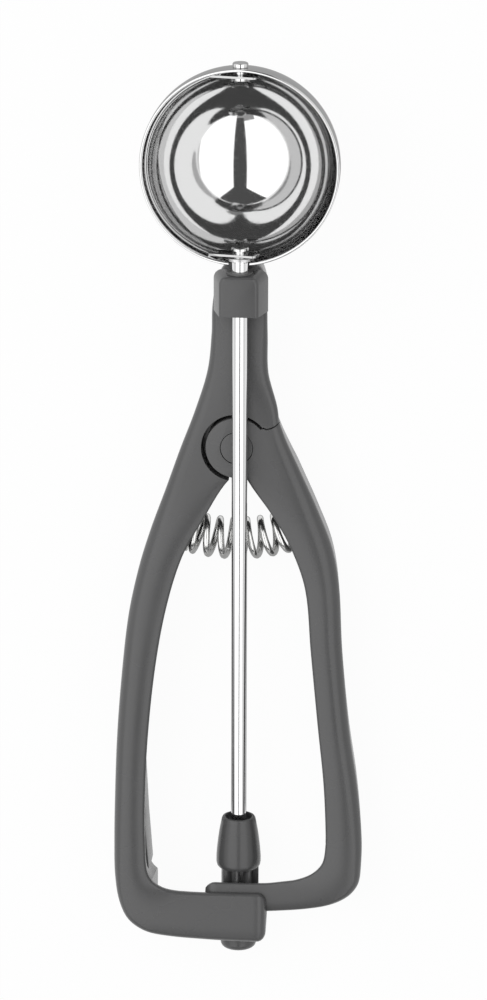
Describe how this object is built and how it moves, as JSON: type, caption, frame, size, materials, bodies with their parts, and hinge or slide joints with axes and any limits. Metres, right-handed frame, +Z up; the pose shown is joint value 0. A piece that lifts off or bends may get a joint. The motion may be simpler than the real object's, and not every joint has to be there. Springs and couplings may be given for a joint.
{
  "type": "ice cream scoop",
  "caption": "Hand scoop with a hemispherical steel bowl; squeezing its sprung lever turns a scraper blade inside the bowl through a rack and pinion to release the ball.",
  "frame": {"origin": "middle of the bounding box, on the worktop that the scoop lies on", "axes": "+Y from the feet to the bowl, +Z up out of the bowl's mouth, +X towards the lever"},
  "size_m": [0.0642, 0.2366, 0.0307],
  "materials": {
    "handle_plastic": "dark grey moulded nylon with a low sheen",
    "gear_plastic": "black moulded acetal",
    "cap_plastic": "dark grey moulded cap",
    "bush_plastic": "plain grey acetal",
    "polished_steel": "mirror polished stainless steel",
    "plain_steel": "plain turned or pressed stainless steel",
    "spring_steel": "bright drawn spring wire"
  },
  "bodies": {
    "frame": {"handle_frame": "handle_plastic", "neck_collar": "handle_plastic", "shaft_bush": "bush_plastic", "bowl": "polished_steel", "bowl_bracket": "plain_steel", "bracket_screws": "plain_steel", "blade_rivet": "polished_steel", "pivot_pin": "plain_steel", "hub_washer": "bush_plastic", "journal_bush": "bush_plastic", "return_spring": "spring_steel"},
    "lever": {"lever_handle": "handle_plastic", "pivot_bush": "bush_plastic", "pivot_cap": "cap_plastic"},
    "scraper": {"scraper_shaft": "polished_steel", "scraper_blade": "polished_steel", "blade_washer": "plain_steel", "drive_pinion": "gear_plastic", "end_cap": "gear_plastic"}
  },
  "joints": [
    {"name": "lever_hinge", "type": "hinge", "parent": "frame", "child": "lever", "pos_m": [-0.00085, 0.01723, 0.01826], "axis": [0, 0.0941, -0.9956], "range_deg": [0, 6.04], "stiffness_Nm_per_rad": 0.8, "springref_deg": -8.59, "deforming": ["return_spring"]},
    {"name": "scraper_spin", "type": "hinge", "parent": "frame", "child": "scraper", "pos_m": [0.00015, 0.01723, 0.01826], "axis": [0, -0.9956, -0.0941], "range_deg": [0, 160.2]}
  ],
  "couplings": [
    {"joint": "scraper_spin", "follows": "lever_hinge", "ratio": 26.511}
  ]
}
